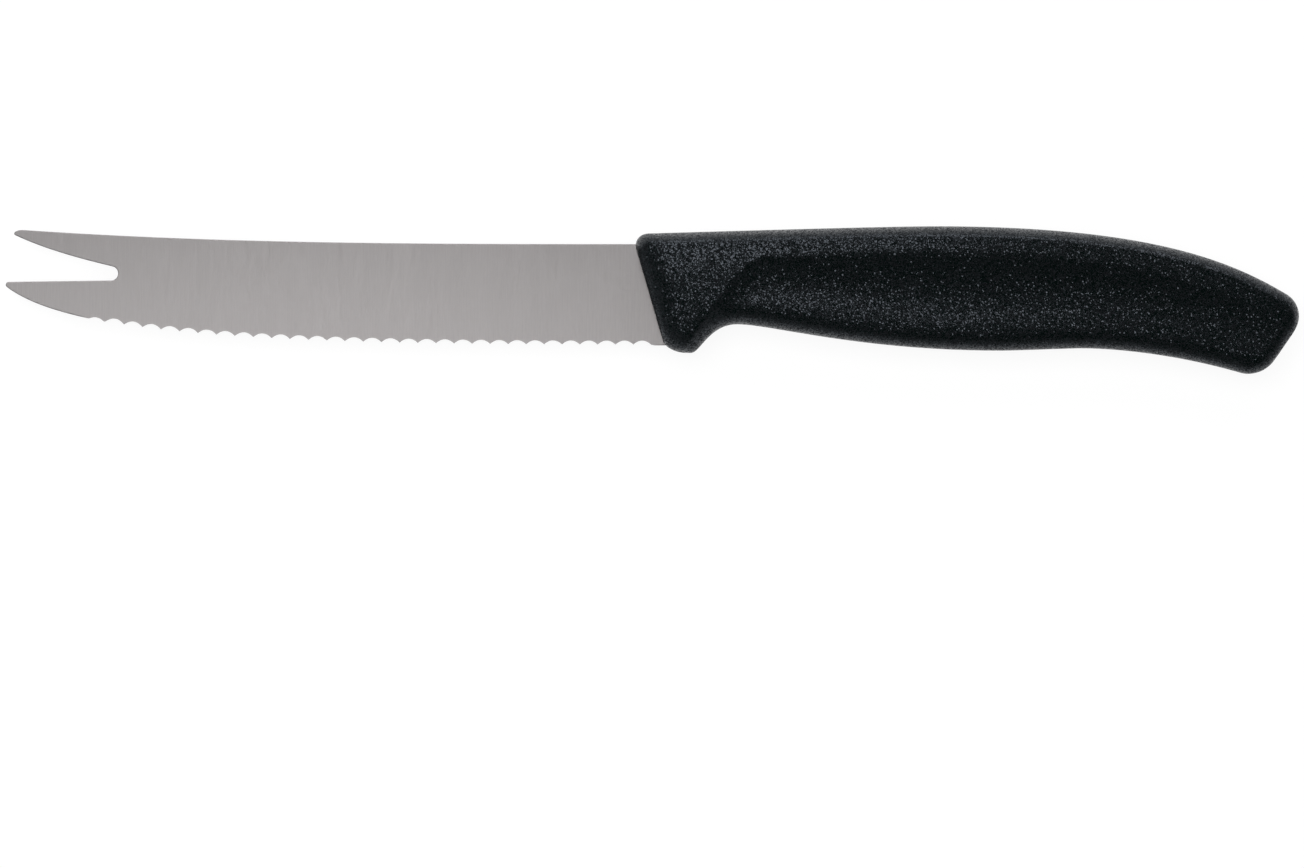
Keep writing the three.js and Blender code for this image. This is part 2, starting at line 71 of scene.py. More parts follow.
view = bpy.data.cameras.new("photo_view")
view.lens = LENS
view.sensor_width = SENSOR
distance = PHOTO_SIZE[0] / PIXELS_PER_MM * LENS / SENSOR * MM
off_centre = (PHOTO_SIZE / 2 - PHOTO_ORIGIN) / PIXELS_PER_MM * MM
camera = bpy.data.objects.new("photo_view", view)
camera.location = (off_centre[0], -off_centre[1], half_height + distance)
bpy.context.scene.collection.objects.link(camera)
bpy.context.scene.camera = camera
print("camera", round(distance, 3), "m above the knife")

# %% [markdown]
# ## Floor and light
#
# The knife lies on a white sweep in a studio with pale walls and a dark ceiling. A small panel hangs low over
# the blade and ends before the butt, and a large one stands behind the spine. Faces that turn towards the
# edge reflect the dark ceiling, which gives the handle its form. One even sky would be simpler, but it would
# leave the black plastic flat. A third panel adds soft light that reflections don't show. The floor mixes
# white paint, which takes the shadow, with a white for the camera and for reflections, so it stays even.


# %% Make the floor
def add_node(tree, kind, inputs=None, **settings):
    """A node of one kind with its settings. Each named input is linked to a socket or set to a value."""
    node = tree.nodes.new(kind)
    for name, value in settings.items():
        setattr(node, name, value)
    for name, value in (inputs or {}).items():
        if isinstance(value, bpy.types.NodeSocket):
            tree.links.new(value, node.inputs[name])
        else:
            node.inputs[name].default_value = value
    return node


FLOOR_SIZE = 60.0  # m
FLOOR_EVENNESS = 0.9  # share of the floor's look that no shadow reaches
FLOOR_PAINT = (0.92, 0.92, 0.92, 1)

floor_mesh = bpy.data.meshes.new("floor")
floor_corners = np.array([[-1, -1, 0], [1, -1, 0], [1, 1, 0], [-1, 1, 0]]) * FLOOR_SIZE / 2
floor_mesh.from_pydata(floor_corners.tolist(), [], [[0, 1, 2, 3]])
floor = bpy.data.objects.new("floor", floor_mesh)
bpy.context.scene.collection.objects.link(floor)

sweep_paint = bpy.data.materials.new("white_sweep")
sweep_paint.use_nodes = True
tree = sweep_paint.node_tree
tree.nodes.clear()
rays = add_node(tree, "ShaderNodeLightPath").outputs
direct = {0: rays["Is Camera Ray"], 1: rays["Is Glossy Ray"]}
seen = add_node(tree, "ShaderNodeMath", direct, operation="MAXIMUM").outputs[0]
shown = {0: seen, 1: rays["Is Transmission Ray"]}
seen = add_node(tree, "ShaderNodeMath", shown, operation="MAXIMUM").outputs[0]
share = add_node(tree, "ShaderNodeMath", {0: seen, 1: FLOOR_EVENNESS}, operation="MULTIPLY").outputs[0]
matt = add_node(tree, "ShaderNodeBsdfDiffuse", {"Color": FLOOR_PAINT}).outputs[0]
even = add_node(tree, "ShaderNodeEmission").outputs[0]
mixed = add_node(tree, "ShaderNodeMixShader", {0: share, 1: matt, 2: even}).outputs[0]
add_node(tree, "ShaderNodeOutputMaterial", {"Surface": mixed})
floor_mesh.materials.append(sweep_paint)
print("floor", FLOOR_SIZE, "m wide")

# %% Hang the light panels
CEILING_LIGHT = 0.015  # radiance of the dark ceiling
WALL_LIGHT = 0.4  # and of the walls, which show in the blade from low views
WALL_TOP = (0.34, 0.64)  # sine of the angle up at which the walls start to fade, and have faded
WATTS_PER_RADIANCE = 4  # an area lamp's power for each square metre and unit of radiance


def hang_panel(name, place, size, tilt, radiance):
    """A rectangular lamp of a set radiance, which faces down and is then turned about the X axis."""
    lamp = bpy.data.lights.new(name, "AREA")
    lamp.shape = "RECTANGLE"
    lamp.size = size[0]
    lamp.size_y = size[1]
    lamp.energy = WATTS_PER_RADIANCE * radiance * size[0] * size[1]
    panel = bpy.data.objects.new(name, lamp)
    panel.location = place
    panel.rotation_euler = (np.radians(tilt), 0, 0)
    panel.visible_camera = False
    bpy.context.scene.collection.objects.link(panel)
    return panel


def ranged(tree, value, span, result):
    """A value carried from one span of numbers to another, and held at its ends."""
    limits = {"From Min": span[0], "From Max": span[1], "To Min": result[0], "To Max": result[1]}
    return add_node(tree, "ShaderNodeMapRange", {"Value": value, **limits}).outputs[0]


hang_panel("overhead_panel", place=(-0.08, 0.084, 0.4), size=(0.26, 0.19), tilt=0, radiance=3.15)
hang_panel("spine_panel", place=(0, 1.6, 0.95), size=(2.4, 1.3), tilt=-75, radiance=1.8)
fill_panel = hang_panel("fill_panel", place=(0, 0, 3), size=(3, 3), tilt=0, radiance=2.4)
fill_panel.visible_glossy = False
room = bpy.data.worlds.new("studio")
room.use_nodes = True
tree = room.node_tree
direction = add_node(tree, "ShaderNodeTexCoord").outputs["Generated"]
upward = add_node(tree, "ShaderNodeSeparateXYZ", {0: direction}).outputs["Z"]
background = tree.nodes["Background"]
background.inputs["Color"].default_value = (1, 1, 1, 1)
tree.links.new(ranged(tree, upward, WALL_TOP, (WALL_LIGHT, CEILING_LIGHT)), background.inputs["Strength"])
bpy.context.scene.world = room
bpy.context.scene.view_settings.view_transform = "Standard"
print("lamps", [lamp.name for lamp in bpy.data.lights])

# %% [markdown]
# ## Helpers for outlines and grids
#
# Every outline of the knife is a few arcs and cubic curves, drawn in millimetres and degrees as the knife is
# seen from its side: x from the fork to the butt, y up to the spine, z through the thickness. Every surface
# is a grid of points. Blender could join such grids with operators, but welding them as arrays is shorter:
# points that agree become one, a face that loses a corner this way becomes a triangle, and one that loses two
# is left out.

# %% Outline and grid helpers
WELD = 1e-4  # mm, to which points are rounded before equal ones become one


def heading(degrees, length=1.0):
    """A step of a given length in a given direction: its length times the cosine and sine of the angle."""
    return length * np.array([np.cos(np.radians(degrees)), np.sin(np.radians(degrees))])


def arc(centre, radius, start, end, steps):
    """Points on a circle: the centre plus the radius, turned evenly from one angle to another."""
    turn = np.radians(np.linspace(start, end, steps + 1))
    return centre + radius * np.column_stack([np.cos(turn), np.sin(turn)])


def cubic(start, start_pull, end_pull, end, share):
    """A cubic curve: the four points weighted by (1-t)^3, 3t(1-t)^2, 3t^2(1-t) and t^3."""
    t = np.asarray(share)[:, None]
    near_start = (1 - t) ** 3 * start + 3 * t * (1 - t) ** 2 * start_pull
    return near_start + 3 * t**2 * (1 - t) * end_pull + t**3 * end


def blend(a, b, share):
    """Points on the way from a to b: a plus a share of the step between them."""
    return a + np.asarray(share)[..., None] * (np.asarray(b) - a)


def grid_faces(grid, first):
    """Corner numbers of each four-sided face of a grid whose points are numbered row by row."""
    number = first + np.arange(grid.shape[0] * grid.shape[1]).reshape(grid.shape[:2])
    corners = [number[:-1, :-1], number[1:, :-1], number[1:, 1:], number[:-1, 1:]]
    return np.stack(corners, axis=-1).reshape(-1, 4)


def make_piece(name, grids, origin):
    """A mesh of welded grids: points are rounded to the weld distance, and equal ones become one."""
    firsts = np.cumsum([0] + [grid.shape[0] * grid.shape[1] for grid in grids[:-1]])
    faces = np.concatenate([grid_faces(grid, first) for grid, first in zip(grids, firsts)])
    points = np.concatenate([grid.reshape(-1, 3) for grid in grids])
    unique, number = np.unique(np.round(points / WELD).astype(np.int64), axis=0, return_inverse=True)
    faces = number.reshape(-1)[faces]
    kept = faces != np.roll(faces, 1, axis=1)  # corners that differ from the one before
    corners = kept.sum(axis=1)
    triangles = faces[corners == 3][kept[corners == 3]].reshape(-1, 3)
    mesh = bpy.data.meshes.new(name)
    places = (unique * WELD * MM + origin).tolist()
    mesh.from_pydata(places, [], faces[corners == 4].tolist() + triangles.tolist())
    mesh.shade_smooth()
    piece = bpy.data.objects.new(name, mesh)
    bpy.context.scene.collection.objects.link(piece)
    return piece


print("helpers ready, weld distance", WELD, "mm")

# %% [markdown]
# ## The blade's outline
#
# The blade is stamped from sheet. Its spine sweeps up to the fork, where the upper tine ends in a low nose
# and the lower one in a round tip, and a belly falls away into the long edge. The heel and a narrower tang
# with two lock holes go into the handle. The outline could be traced point by point, but a few curves with
# named sizes are easier to follow and to change. The sizes are the part's own. Two facts tie them to the
# frame: the lower tine's tip is the blade's foremost point, and the edge at the heel is its lowest.

# %% Blade sizes
BLADE_LENGTH = 110  # lower tine's tip to the handle's front face
BLADE_HEIGHT = 17.3  # spine to edge at the heel
SPINE_RISE = 2.4
EDGE_RUN = 64  # pulls of the heel and of the belly on the edge curve
BELLY_RUN = 14.5
BELLY_ANGLE = 37
FORK_DEPTH = 19.2
FORK_ROOT_RADIUS = 1.22
FORK_ROOT_DROP = 5  # below the spine at the handle
FORK_UPPER_ROOT_ANGLE = 13.5  # of the slot's upper side, at its bottom
FORK_UPPER_TIP_ANGLE = 25  # and at its mouth
FORK_LOWER_ANGLE = 0.75  # of the slot's lower side
UPPER_TINE_SETBACK = 1.5
UPPER_NOSE_LENGTH = 1.6  # where the spine turns down to the upper tine's tip
UPPER_NOSE_HEIGHT = 0.7
UPPER_TINE_RADIUS = 0.3
LOWER_TINE_RADIUS = 0.5
SEAT_DEPTH = 3  # of the full-height heel, behind the handle's front face
FRONT_LEAN = 16.2  # of that front face, top forward

middle = -BLADE_HEIGHT / 2
origin = np.array([blade_low[0] + BLADE_LENGTH * MM, blade_low[1] + BLADE_HEIGHT * MM, half_height])


def front_face(y):
    """The handle's front face at a height: it leans forward by the tangent of its angle for each mm up."""
    return np.tan(np.radians(FRONT_LEAN)) * (middle - y)


def spine_at(x):
    """The spine: flat at the handle, then rising with the cube of the share of its length."""
    share = np.clip((front_face(0) - x) / (front_face(0) - spine_end[0]), 0, 1)
    return np.column_stack([x, SPINE_RISE * share**3])


spine_end = np.array([UPPER_TINE_SETBACK + UPPER_NOSE_LENGTH - BLADE_LENGTH, SPINE_RISE])
print("drawing origin in the frame, mm", np.round(origin / MM, 3))

# %% Fork and edge curves
CURVE_POINTS = 4001

fork_root = np.array([FORK_DEPTH - FORK_ROOT_RADIUS - BLADE_LENGTH, -FORK_ROOT_DROP])
lower_x = LOWER_TINE_RADIUS - BLADE_LENGTH
lower_slope = np.radians(FORK_LOWER_ANGLE)
lower_across = FORK_ROOT_RADIUS + LOWER_TINE_RADIUS - (lower_x - fork_root[0]) * np.sin(lower_slope)
lower_tip = np.array([lower_x, fork_root[1] - lower_across / np.cos(lower_slope)])

# A cube's slope at its end is its whole rise over a third of its length
spine_third = (spine_end[0] - front_face(0)) / 3
spine_up = np.degrees(np.arctan2(SPINE_RISE, spine_third)) - 90
nose_middle = spine_end - heading(spine_up, UPPER_NOSE_HEIGHT)
nose_tip = nose_middle + heading(spine_up + 90, UPPER_NOSE_LENGTH)
upper_tip = nose_tip - heading(spine_up + 90, UPPER_TINE_RADIUS)
slot_mouth = upper_tip + heading(270 - FORK_UPPER_TIP_ANGLE, UPPER_TINE_RADIUS)
slot_end = fork_root + heading(90 - FORK_UPPER_ROOT_ANGLE, FORK_ROOT_RADIUS)
slot_third = np.linalg.norm(slot_end - slot_mouth) / 3

belly_start = lower_tip + heading(270 - BELLY_ANGLE, LOWER_TINE_RADIUS)
belly_pull = belly_start + heading(-BELLY_ANGLE, BELLY_RUN)
heel = np.array([front_face(-BLADE_HEIGHT), -BLADE_HEIGHT])
edge_line = cubic(belly_start, belly_pull, heel - [EDGE_RUN, 0], heel, np.linspace(0, 1, CURVE_POINTS))
edge_line = np.vstack([edge_line, heel + [SEAT_DEPTH, 0]])
edge_steps = np.hypot(*np.diff(edge_line, axis=0).T)
from_heel = np.concatenate([np.cumsum(edge_steps[::-1])[::-1], [0]]) - SEAT_DEPTH
edge_length = from_heel[0]
print("edge", round(edge_length, 2), "mm long, fork root at", np.round(fork_root, 2))

# %% [markdown]
# ## The scalloped edge
#
# A wheel with a round crown grinds each scallop from the back face at a slant, so the plain face shows a row
# of small arcs, and the back a row of hollows that die out within three millimetres. The scallops widen a
# little towards the fork, and the last one is shallow, because the wheel leaves the edge there. Cutting them
# with booleans would leave ragged shading. Here the wheel's crown is a formula along the edge, and it moves
# the outline and the back surface. The grid has a column on every tooth, so the teeth stay crisp.

# %% Scallop formula along the edge
STOCK_THICKNESS = 1.2
EDGE_THICKNESS = 0.4
HEEL_FLAT = 2.24  # plain edge at the handle
PLAIN_BELLY = 14.5  # least plain edge at the fork
SCALLOP_PITCH = 3.03  # at the handle
SCALLOP_GROWTH = 0.0056  # each scallop is wider by this than its neighbour on the handle's side
SCALLOP_DEPTH = 0.88
LAST_SCALLOP_DEPTH = 0.5  # next to the fork, where the wheel leaves the edge
SCALLOP_WHEEL_RADIUS = 7.1
SCALLOP_GRIND_ANGLE = 13

taper = (STOCK_THICKNESS - EDGE_THICKNESS) / 2 / (SPINE_RISE + BLADE_HEIGHT)
grind = np.radians(SCALLOP_GRIND_ANGLE)


def tooth_place(n):
    """Distance along the edge to the nth tooth: the plain heel, n pitches and half the growth times n^2."""
    return HEEL_FLAT + n * (SCALLOP_PITCH + n * SCALLOP_GROWTH / 2)


teeth = tooth_place(np.arange(edge_length // SCALLOP_PITCH))
scallop_count = int(np.sum(teeth < edge_length - PLAIN_BELLY)) - 1
scallop_middles = tooth_place(np.arange(scallop_count) + 0.5)
scallop_depths = np.append(np.full(scallop_count - 1, SCALLOP_DEPTH), LAST_SCALLOP_DEPTH)


def flank(y):
    """Half the blade's thickness: the sheet's at the top of the spine, less the taper for each mm below."""
    return STOCK_THICKNESS / 2 - taper * (SPINE_RISE - y)


def crown(place):
    """Height of the ground hollow over the plain face at the edge: the highest of the wheel's circles."""
    aside = place[:, None] - scallop_middles
    round_top = np.sqrt(np.maximum(0, SCALLOP_WHEEL_RADIUS**2 - aside**2)) - SCALLOP_WHEEL_RADIUS
    return (scallop_depths * np.sin(grind) + round_top).max(axis=1) / np.cos(grind)


print(scallop_count, "scallops, and", round(edge_length - teeth[scallop_count], 2), "mm of plain belly")

# %% Columns along the edge, from the lower tine to the heel
HEEL_COLUMNS = 8
SCALLOP_COLUMNS = 16
BELLY_COLUMNS = 30

heel_places = np.linspace(-SEAT_DEPTH, HEEL_FLAT, HEEL_COLUMNS, endpoint=False)
scallop_steps = (scallop_count + 1) * SCALLOP_COLUMNS
scallop_places = tooth_place(np.arange(scallop_steps + 1) / SCALLOP_COLUMNS)
belly_places = np.linspace(scallop_places[-1], edge_length, BELLY_COLUMNS + 1)[1:]
edge_places = np.concatenate([heel_places, scallop_places, belly_places])[::-1]
edge_base = np.column_stack([np.interp(edge_places, from_heel[::-1], edge_line[::-1, k]) for k in (0, 1)])
edge_along = -np.gradient(edge_base, edge_places, axis=0)
edge_along /= np.linalg.norm(edge_along, axis=1)[:, None]
edge_inward = np.column_stack([-edge_along[:, 1], edge_along[:, 0]])
edge_crown = crown(edge_places)
edge_cut = np.maximum(0, edge_crown) / (np.tan(grind) + taper)
edge_points = edge_base + edge_cut[:, None] * edge_inward
print(len(edge_places), "columns, the steel ground back by", round(edge_cut.max(), 2), "mm at most")

# %% [markdown]
# ## The blade's surface
#
# The whole blade is one profile carried round its outline. At each outline point the profile starts on a bone
# line in the middle of the steel, runs over the plain face to the rim, round the rim's broken edges and over
# the back face to the bone line again. The bone forks with the tines and runs on into the tang. Profiles on
# both sides of a bone share it, so the weld closes the faces with no seam. Extruding the outline would be
# shorter, but the taper and the hollows need a profile that changes on its way round.

# %% Stretches of the outline
TIP_STEPS = 32
CORNER_STEPS = 12  # round the upper tine's corner, so that they are as long as the nose's next to it
TINE_COLUMNS = 40
SHOULDER_COLUMNS = 16
BRANCH_GAP = 2  # from the slot's bottom to where the bone forks

branch = int(np.argmin(np.abs(edge_base[:, 0] - fork_root[0] - FORK_ROOT_RADIUS - BRANCH_GAP)))
under_root = int(np.argmin(np.abs(edge_base[:, 0] - fork_root[0])))
branch_x = edge_base[branch, 0]
seat_top = np.array([front_face(0) + SEAT_DEPTH, 0])
seat_bottom = np.array([front_face(-BLADE_HEIGHT) + SEAT_DEPTH, -BLADE_HEIGHT])

main_share = (edge_base[branch:, 0] - seat_bottom[0]) / (branch_x - seat_bottom[0])
main_spine = spine_at(seat_top[0] + main_share * (branch_x - seat_top[0]))
shoulder_spine = spine_at(np.linspace(branch_x, fork_root[0], SHOULDER_COLUMNS + 1))
tine_spine = spine_at(np.linspace(fork_root[0], spine_end[0], TINE_COLUMNS + 1))
root_upper = arc(fork_root, FORK_ROOT_RADIUS, 0, 90 - FORK_UPPER_ROOT_ANGLE, SHOULDER_COLUMNS)
root_lower = arc(fork_root, FORK_ROOT_RADIUS, 0, FORK_LOWER_ANGLE - 90, branch - under_root)

slot_leave = slot_mouth + heading(-FORK_UPPER_TIP_ANGLE, slot_third)
slot_reach = slot_end - heading(-FORK_UPPER_ROOT_ANGLE, slot_third)
slot_upper = cubic(slot_mouth, slot_leave, slot_reach, slot_end, np.linspace(0, 1, TINE_COLUMNS + 1))
lower_arc = arc(lower_tip, LOWER_TINE_RADIUS, 90 + FORK_LOWER_ANGLE, 270 - BELLY_ANGLE, TIP_STEPS)
nose_turn = np.linspace(np.pi / 2, 0, TIP_STEPS + 1)
nose_axes = [heading(spine_up + 90, UPPER_NOSE_LENGTH), heading(spine_up, UPPER_NOSE_HEIGHT)]
nose = nose_middle + np.column_stack([np.cos(nose_turn), np.sin(nose_turn)]) @ nose_axes
upper_corner = arc(upper_tip, UPPER_TINE_RADIUS, spine_up + 90, 270 - FORK_UPPER_TIP_ANGLE, CORNER_STEPS)
upper_arc = np.vstack([nose[:-1], upper_corner])
tine_share = (edge_base[: under_root + 1, 0] - belly_start[0]) / (edge_base[under_root, 0] - belly_start[0])
slot_lower = blend(lower_arc[0], root_lower[-1], tine_share)
print("tine tips", np.round(nose_tip, 2), np.round(lower_arc[TIP_STEPS // 2], 2))

# %% Tang with lock holes
TANG_LENGTH = 68
TANG_HEIGHT = 8
TANG_DROP = 2.5  # below the spine
LOCK_HOLE_RADIUS = 2
LOCK_HOLE_PITCH = 24
LOCK_HOLE_INSET = 16  # from the tang's end
LOCK_HOLE_COUNT = 2
TANG_COLUMNS = 14
HOLE_COLUMNS = 16
LEAN_FADE = 8  # power with which the profiles' lean at the heel dies out along the tang
STEP_RUN = 0.2  # over which the heel's thickness passes into the tang's
BONE_INSET = 2  # from the heel's back end to where the bones of blade and tang start

tang_middle = -TANG_DROP - TANG_HEIGHT / 2
tang_end = TANG_LENGTH - TANG_HEIGHT / 2
tang_start = front_face(tang_middle) + SEAT_DEPTH + BONE_INSET
hole_x = TANG_LENGTH - LOCK_HOLE_INSET - LOCK_HOLE_PITCH * np.arange(LOCK_HOLE_COUNT)[::-1]
hole_steps = LOCK_HOLE_RADIUS * np.cos(np.linspace(np.pi, 0, HOLE_COLUMNS + 1))
plain_steps = np.linspace(tang_start, tang_end, TANG_COLUMNS)
tang_x = np.sort(np.concatenate([plain_steps, (hole_x[:, None] + hole_steps).ravel()]))
from_hole = np.abs(tang_x[:, None] - hole_x).min(axis=1)
hole_rise = np.sqrt(np.maximum(0, LOCK_HOLE_RADIUS**2 - from_hole**2))


def tang_side(up):
    """A long side of the tang and its bone, which is the tang's middle line bent round the lock holes."""
    y = tang_middle + up * TANG_HEIGHT / 2
    root_x = front_face(y) + SEAT_DEPTH + STEP_RUN
    share = (tang_x - tang_start) / (tang_end - tang_start)
    side_x = tang_x + (root_x - tang_start) * (1 - share) ** LEAN_FADE
    side = np.column_stack([side_x, np.full(len(tang_x), y)])
    return side, np.column_stack([tang_x, tang_middle + up * hole_rise])


tang_upper, tang_upper_bone = tang_side(1)
tang_lower, tang_lower_bone = tang_side(-1)
# Corners between the heel's back end and the tang
upper_root = tang_upper[0] - [STEP_RUN, 0]
lower_root = tang_lower[0] - [STEP_RUN, 0]
tang_round = arc(np.array([tang_end, tang_middle]), TANG_HEIGHT / 2, -90, 90, TIP_STEPS)
print("lock holes at", hole_x, "mm behind the handle's front face")

# %% Bone lines
TINE_BONE_SHARE = 0.6  # place of a tine's bone, on the way from its outer side to the slot

bone_branch = (main_spine[0] + edge_points[branch] + root_upper[0]) / 3
bone_seat = np.array([front_face(middle) + SEAT_DEPTH - BONE_INSET, middle])
main_bone = blend(bone_seat, bone_branch, main_share)
upper_bone = blend(tine_spine, slot_upper[::-1], TINE_BONE_SHARE)
lower_bone = blend(edge_points[: under_root + 1], slot_lower, TINE_BONE_SHARE)
upper_shoulder = blend(bone_branch, upper_bone[0], np.linspace(0, 1, SHOULDER_COLUMNS + 1))
lower_shoulder = blend(lower_bone[-1], bone_branch, np.linspace(0, 1, branch - under_root + 1))
print("bone forks at", np.round(bone_branch, 2))


# %% Walk round the outline
def fan(points, bone_point):
    """A stretch whose profiles all start at one bone point."""
    return points, np.tile(bone_point, (len(points), 1))


to_fork = [
    (main_spine[::-1], main_bone[::-1]),
    (shoulder_spine, upper_shoulder),
    (tine_spine, upper_bone),
    fan(upper_arc, upper_bone[-1]),
    (slot_upper, upper_bone[::-1]),
    (root_upper[::-1], upper_shoulder[::-1]),
    (root_lower, lower_shoulder[::-1]),
    (slot_lower[::-1], lower_bone[::-1]),
    fan(lower_arc, lower_bone[0]),
]
edge_order = np.concatenate([np.arange(branch + 1), np.arange(branch, len(edge_places))])
edge_bone = np.concatenate([lower_bone, lower_shoulder[1:], main_bone])
round_tang = [
    fan(np.array([seat_bottom, lower_root]), bone_seat),
    (tang_lower, tang_lower_bone),
    fan(tang_round, tang_lower_bone[-1]),
    (tang_upper[::-1], tang_upper_bone[::-1]),
    fan(np.array([upper_root, seat_top]), bone_seat),
]
walk = to_fork + [(edge_points[edge_order], edge_bone)] + round_tang
outline, bone = (np.concatenate(lines) for lines in zip(*walk))
edge_first = sum(len(points) for points, _ in to_fork)
edge_columns = np.arange(edge_first, edge_first + len(edge_order))
print(len(outline), "columns round the blade")

# %% Directions into the steel, and the hollows
EDGE_FLAT = 0.03  # what is left of the rim at the sharp teeth

repeated = np.all(np.isclose(outline, np.roll(outline, 1, axis=0)), axis=1)
distinct = outline[~repeated]
ahead = np.roll(distinct, -1, axis=0) - distinct
ahead /= np.linalg.norm(ahead, axis=1)[:, None]
along = ahead + np.roll(ahead, 1, axis=0)
along /= np.linalg.norm(along, axis=1)[:, None]
inward = np.column_stack([-along[:, 1], along[:, 0]])[np.cumsum(~repeated) - 1]
# Between its ends, the edge is ground square to its curve, whatever the scallops do to the outline
inward[edge_columns[1:-1]] = edge_inward[edge_order[1:-1]]

# Where nothing is ground, the hollow lies below the back
hollow = np.full(len(outline), -STOCK_THICKNESS)
edge_hollow = flank(edge_base[:, 1]) + edge_crown - edge_cut * np.tan(grind)
hollow[edge_columns] = edge_hollow[edge_order]
hollow = np.minimum(hollow, flank(outline[:, 1]) - EDGE_FLAT)
hollow_top = (hollow + flank(outline[:, 1])) / (np.tan(grind) - taper)
on_tang = bone[:, 0] > tang_start - WELD
to_bone = np.linalg.norm(bone - outline, axis=1)
print("hollows end", round(hollow_top.max(), 2), "mm up, and take", round((hollow_top / to_bone).max(), 2),
      "of the way to the bone at most")

# %% Carry the profile round
RIM_ROUND = 0.12  # broken edge between face and rim
RIM_STEPS = 10
RIM_SHARE = 0.4  # most of the rim's height that a broken edge takes
SUPPORT = 2  # faces are flat up to this many rim rounds from the rim


def inset(depth):
    """Outline points moved into the steel by a depth, which may differ from column to column."""
    return outline + np.reshape(depth, (-1, 1)) * inward


def face_z(points):
    """Height of the plain face over the middle plane: the flank, or half the sheet on the tang."""
    return np.where(on_tang, STOCK_THICKNESS / 2, flank(points[:, 1]))


def back_z(points, depth):
    """Height of the back: the mirrored face, or the hollow, which falls with the grind's slope, if higher."""
    return np.maximum(-face_z(points), hollow - depth * np.tan(grind))


def rim_row(turn, side):
    """A row of a broken edge: a quarter circle from the face, at turn 0, to the rim, at a right angle."""
    depth = rounding * (1 - np.sin(turn))
    points = inset(depth)
    drop = rounding * (1 - np.cos(turn))
    heights = face_z(points) - drop if side > 0 else back_z(points, depth) + drop
    return points, heights


rounding = np.minimum(RIM_ROUND, RIM_SHARE * (face_z(outline) - back_z(outline, 0)))
support = inset(SUPPORT * rounding)
inner = inset(np.maximum(hollow_top, SUPPORT * rounding))
turns = np.linspace(0, np.pi / 2, RIM_STEPS + 1)
profile = [(bone, face_z(bone)), (support, face_z(support))]
profile += [rim_row(turn, 1) for turn in turns] + [rim_row(turn, -1) for turn in turns[::-1]]
profile += [(support, back_z(support, SUPPORT * rounding)), (inner, -face_z(inner)), (bone, -face_z(bone))]
blade_grid = np.stack([np.column_stack([points, heights]) for points, heights in profile])
blade_grid = np.concatenate([blade_grid, blade_grid[:, :1]], axis=1)
print("blade grid", blade_grid.shape)

# %% Join the blade
BLADE_CREASE = 10.5  # degrees, from which an edge of the mesh stays crisp


def hole_wall(x):
    """The wall of a lock hole: the bones' half circles, joined to a ring, on the back and on the face."""
    inside = np.abs(tang_x - x) < LOCK_HOLE_RADIUS + WELD
    ring = np.concatenate([tang_lower_bone[inside], tang_upper_bone[inside][::-1]])
    levels = np.array([-1, 1]) * STOCK_THICKNESS / 2
    return np.stack([np.column_stack([ring, np.full(len(ring), z)]) for z in levels])


ground_blade = make_piece("ground_blade", [blade_grid] + [hole_wall(x) for x in hole_x], origin)
ground_blade.data.set_sharp_from_angle(angle=np.radians(BLADE_CREASE))
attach(ground_blade, "root")
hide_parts("blade")
print("blade", len(ground_blade.data.polygons), "faces")

# %% [markdown]
# ## The handle's outline
#
# The handle is one moulding. Its top runs from the front corner over a low crest to the butt, and its
# underside makes a guard, a finger notch, a belly and a heel. Both are a few cubic curves, each drawn by the
# slopes at its ends and how long they hold. The handle could be pushed into shape from a box, but then every
# bump would have to be found by hand.

# %% Handle outline
FRONT_RISE = 1.75  # top of the handle above the spine, at the front
FRONT_SLOPE = 1.4
CREST_AT = 49
CREST_RISE = 3.05
HANDLE_LENGTH = 112.9
BUTT_DROP = 10.85
BUTT_TOP_ANGLE = 28
BUTT_LEAN = 34.5  # butt face, top back
GUARD_COVER = 1.3  # plastic under the edge
GUARD_AT = 7.1
NOTCH_AT = 15
NOTCH_DROP = 13.7
BELLY_AT = 60
BELLY_DROP = 18.2
HOLLOW_AT = 73.8
HOLLOW_DROP = 17.8
HEEL_DROP = 23.05
HEEL_ANGLE = 18
FRONT_PULL = 0.15  # pulls are the shares of a curve's span for which the slope at its end holds
CREST_PULLS = (0.19, 0.71)  # before and behind it
BUTT_PULL = 0.15
GUARD_PULL = 0.2
NOTCH_PULLS = (0.6, 0.13)
BELLY_PULLS = (0.54, 0.22)
HOLLOW_PULLS = (0.14, 0.12)
HEEL_PULL = 0.5
OUTLINE_POINTS = 401

butt_slant = np.tan(np.radians(BUTT_LEAN))
last_station = HANDLE_LENGTH + butt_slant * (middle + BUTT_DROP)


def butt_face(y):
    """The butt's face at a height: it leans back by the tangent of its angle for each mm up."""
    return last_station + butt_slant * (y - middle)


def sweep(start, start_angle, start_pull, end, end_angle, end_pull):
    """A cubic that leaves and arrives at set slopes, each held for a share of the span."""
    span = end[0] - start[0]
    leave = start + heading(start_angle, start_pull * span)
    reach = end - heading(end_angle, end_pull * span)
    return cubic(start, leave, reach, end, np.linspace(0, 1, OUTLINE_POINTS))


